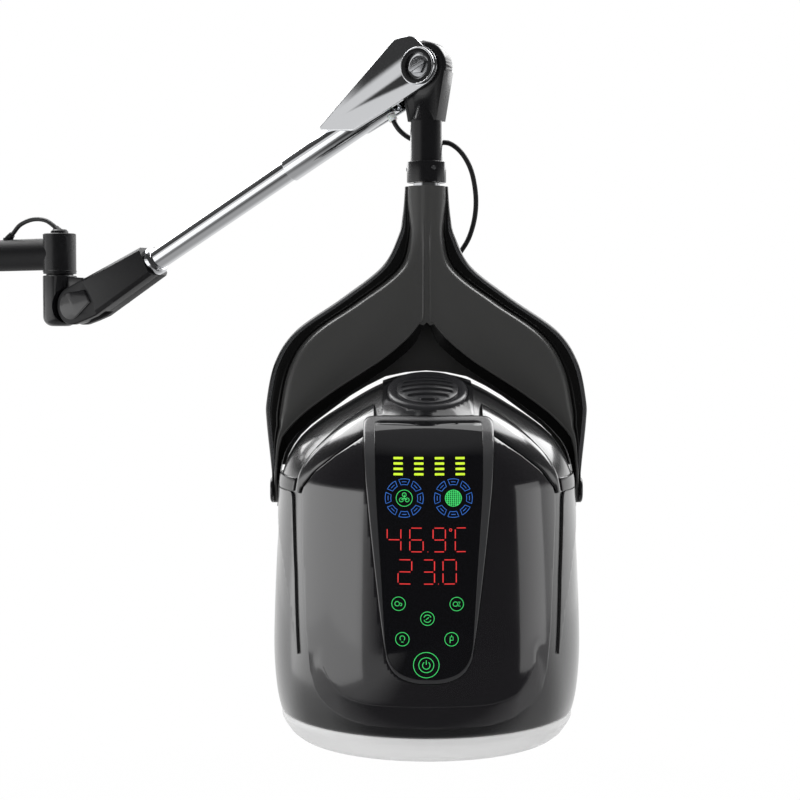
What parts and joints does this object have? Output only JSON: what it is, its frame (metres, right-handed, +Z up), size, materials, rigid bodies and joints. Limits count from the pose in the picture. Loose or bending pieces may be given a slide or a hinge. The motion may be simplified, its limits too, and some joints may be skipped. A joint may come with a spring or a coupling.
{
  "type": "wall-mounted hood dryer",
  "caption": "Salon hood dryer on a wall arm: a swivelling boom, a levelled lift arm, and a forked yoke that carries a tilting hood with a control panel",
  "frame": {"origin": "centre of the wall plate's back face, midway between its four screw holes", "axes": "+X points from the wall into the room along the boom, +Z points up, and +Y completes a right-handed frame"},
  "size_m": [1.2205, 0.3597, 0.8071],
  "materials": {
    "black_paint": "satin black paint",
    "shroud_plastic": "satin black moulding",
    "cover_plastic": "glossy dark grey moulding",
    "bright_chrome": "polished chrome plate",
    "steel": "bright turned steel",
    "bronze": "plain bearing bronze",
    "white_plastic": "plain white moulding",
    "yoke_grey": "satin dark grey moulding",
    "yoke_black": "glossy black moulding",
    "hood_black": "high gloss black moulding",
    "hood_grey": "glossy dark grey moulding",
    "panel_window": "smoked window over a lit display",
    "display": "printed circuit board with display elements",
    "clear_plastic": "clear moulding with a frosted inside",
    "liner": "heat-proof dark moulding",
    "fan_plastic": "plain dark moulding",
    "mica": "heater carrier with resistance wire",
    "lead_rubber": "black cable sheath"
  },
  "bodies": {
    "wall": {"wall_bracket": "black_paint", "wall_pin": "steel"},
    "boom": {"boom_tube": "black_paint", "boom_sockets": "black_paint", "boom_bushes": "bronze", "boom_gland": "shroud_plastic", "elbow_cap": "shroud_plastic", "lead_boom": "lead_rubber"},
    "knuckle": {"knuckle": "black_paint", "elbow_pin": "steel", "lift_bush": "bronze", "rod_pin_lower": "steel"},
    "arm": {"shroud_near": "shroud_plastic", "shroud_far": "shroud_plastic", "pivot_covers": "cover_plastic", "lift_bolt": "steel", "arm_collar": "bright_chrome", "arm_tube": "bright_chrome", "balance_spring": "steel", "head_bracket": "bright_chrome", "hub_cup": "shroud_plastic", "hub_ring": "bright_chrome", "hub_bolt": "steel", "lead_sleeve": "white_plastic"},
    "level_rod": {"level_rod": "steel"},
    "hanger": {"hanger_head": "black_paint", "hub_bush": "bronze", "rod_pin_upper": "steel", "hanger_tube": "black_paint", "hanger_collar": "black_paint", "collar_screws": "steel", "swivel_bushes": "bronze", "lead_clip": "shroud_plastic", "lead_upper": "lead_rubber"},
    "yoke": {"swivel_pin": "bright_chrome", "yoke_frame": "steel", "yoke_front": "yoke_grey", "yoke_rear": "yoke_black", "pivot_caps": "yoke_black", "tilt_bolts": "steel", "yoke_gland": "shroud_plastic", "lead_lower": "lead_rubber"},
    "hood": {"hood_shell": "hood_black", "crown_panel": "hood_black", "vent_ring": "hood_grey", "vent_grille": "hood_grey", "front_mask": "hood_black", "mask_lip": "hood_black", "side_blades": "hood_grey", "pivot_blocks": "hood_black", "panel_bezel": "hood_black", "panel_glass": "panel_window", "display_board": "display", "clear_rim": "clear_plastic", "inner_liner": "liner", "motor_plate": "steel", "fan_motor": "steel", "heater_ring": "mica"},
    "fan": {"fan_impeller": "fan_plastic"}
  },
  "joints": [
    {"name": "wall_swivel", "type": "hinge", "parent": "wall", "child": "boom", "pos_m": [0.062, 0, 0], "axis": [0, 0, 1], "range_deg": [-80, 80]},
    {"name": "elbow_swivel", "type": "hinge", "parent": "boom", "child": "knuckle", "pos_m": [0.464, 0, 0], "axis": [0, 0, 1], "range_deg": [-110, 110]},
    {"name": "arm_lift", "type": "hinge", "parent": "knuckle", "child": "arm", "pos_m": [0.498, 0, -0.07], "axis": [0, -1, 0], "range_deg": [-57, 15]},
    {"name": "rod_swing", "type": "hinge", "parent": "knuckle", "child": "level_rod", "pos_m": [0.498, 0, -0.084], "axis": [0, -1, 0], "range_deg": [-57, 15]},
    {"name": "head_level", "type": "hinge", "parent": "arm", "child": "hanger", "pos_m": [1.02785, 0, 0.20289], "axis": [0, -1, 0], "range_deg": [-15, 57], "deforming": ["lead_upper"]},
    {"name": "yoke_swivel", "type": "hinge", "parent": "hanger", "child": "yoke", "pos_m": [1.02785, 0, 0.06989], "axis": [0, 0, 1], "range_deg": [-90, 90], "deforming": ["lead_lower"]},
    {"name": "hood_tilt", "type": "hinge", "parent": "yoke", "child": "hood", "pos_m": [1.02785, 0, -0.29011], "axis": [0.866, 0.5, 0], "range_deg": [-12, 12]},
    {"name": "fan_spin", "type": "hinge", "parent": "hood", "child": "fan", "pos_m": [1.04035, -0.02165, -0.20211], "axis": [0, 0, 1], "continuous": true}
  ],
  "couplings": [
    {"joint": "rod_swing", "follows": "arm_lift", "ratio": 1},
    {"joint": "head_level", "follows": "arm_lift", "ratio": -1}
  ]
}
